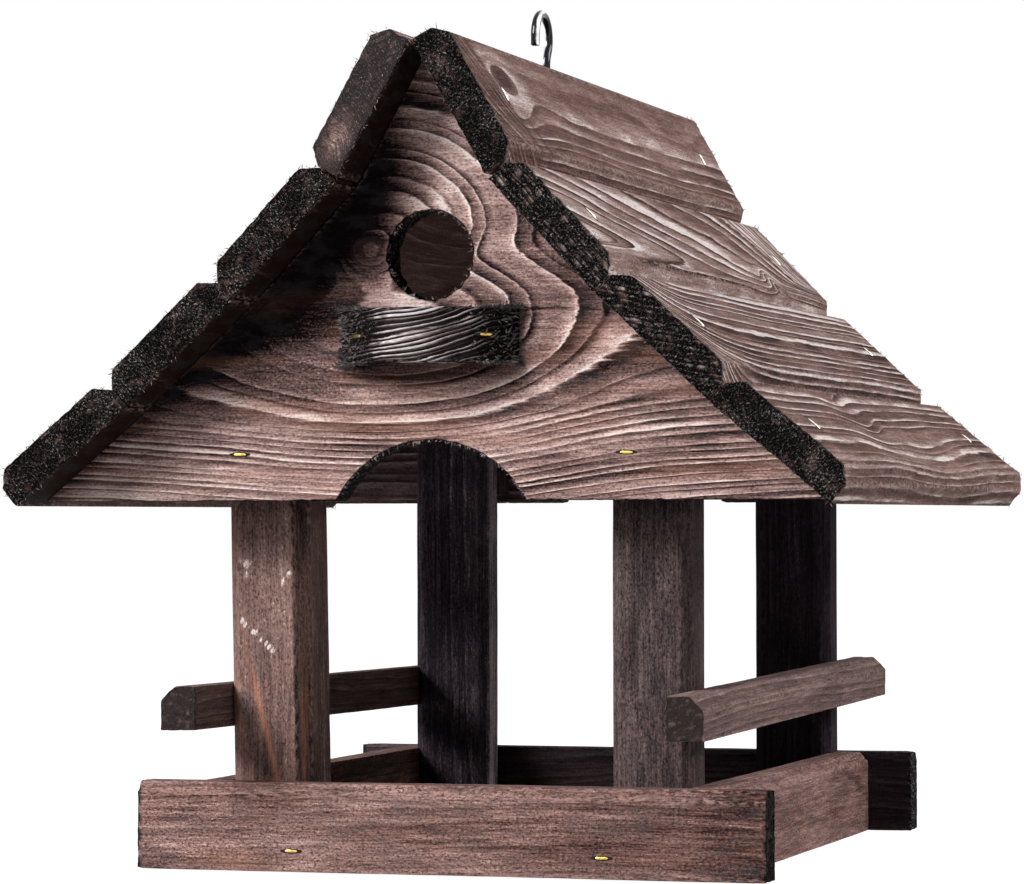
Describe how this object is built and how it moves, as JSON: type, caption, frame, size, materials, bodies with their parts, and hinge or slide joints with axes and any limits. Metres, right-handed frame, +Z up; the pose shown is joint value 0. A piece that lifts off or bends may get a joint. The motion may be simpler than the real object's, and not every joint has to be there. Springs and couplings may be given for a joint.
{
  "type": "bird house",
  "caption": "Hanging open wooden bird house: rimmed seed tray, posts, perch rails, arched gables, flared slatted roof and ridge hook.",
  "frame": {"origin": "centre of the underside of the tray", "axes": "+X to the right along the front, +Y from the front gable with the hole to the back, +Z up"},
  "size_m": [0.2694, 0.298, 0.2818],
  "materials": {
    "tray_wood": "worn dark stain, sawn",
    "floor_wood": "dark stain, sawn",
    "post_wood": "dark stain, planed, worn arrises",
    "rail_wood": "worn dark stain, sawn",
    "gable_wood": "reddish brown stain, open grain",
    "shelf_wood": "dark stain, rough saw cut",
    "roof_wood": "weathered grey-brown stain",
    "hidden_wood": "dark stain",
    "hook_steel": "bright zinc plating",
    "staple_brass": "lacquered wire",
    "brad_steel": "dark, sunk"
  },
  "bodies": {
    "root": {"floor_board": "floor_wood", "front_rim": "tray_wood", "back_rim": "tray_wood", "left_rim": "tray_wood", "right_rim": "tray_wood", "front_left_post": "post_wood", "front_right_post": "post_wood", "back_left_post": "post_wood", "back_right_post": "post_wood", "front_left_cleat": "hidden_wood", "front_right_cleat": "hidden_wood", "back_left_cleat": "hidden_wood", "back_right_cleat": "hidden_wood", "left_perch_rail": "rail_wood", "right_perch_rail": "rail_wood", "front_gable": "gable_wood", "back_gable": "gable_wood", "perch_shelf": "shelf_wood", "ridge_beam": "hidden_wood", "hanging_hook": "hook_steel", "rim_staples": "staple_brass", "gable_staples": "staple_brass", "shelf_staples": "staple_brass", "roof_staples": "staple_brass", "rim_brads": "staple_brass", "rail_brads": "brad_steel", "cleat_brads": "brad_steel", "left_roof_board_1": "roof_wood", "left_roof_board_2": "roof_wood", "left_roof_board_3": "roof_wood", "left_roof_board_4": "roof_wood", "right_roof_board_1": "roof_wood", "right_roof_board_2": "roof_wood", "right_roof_board_3": "roof_wood", "right_roof_board_4": "roof_wood"}
  },
  "joints": []
}
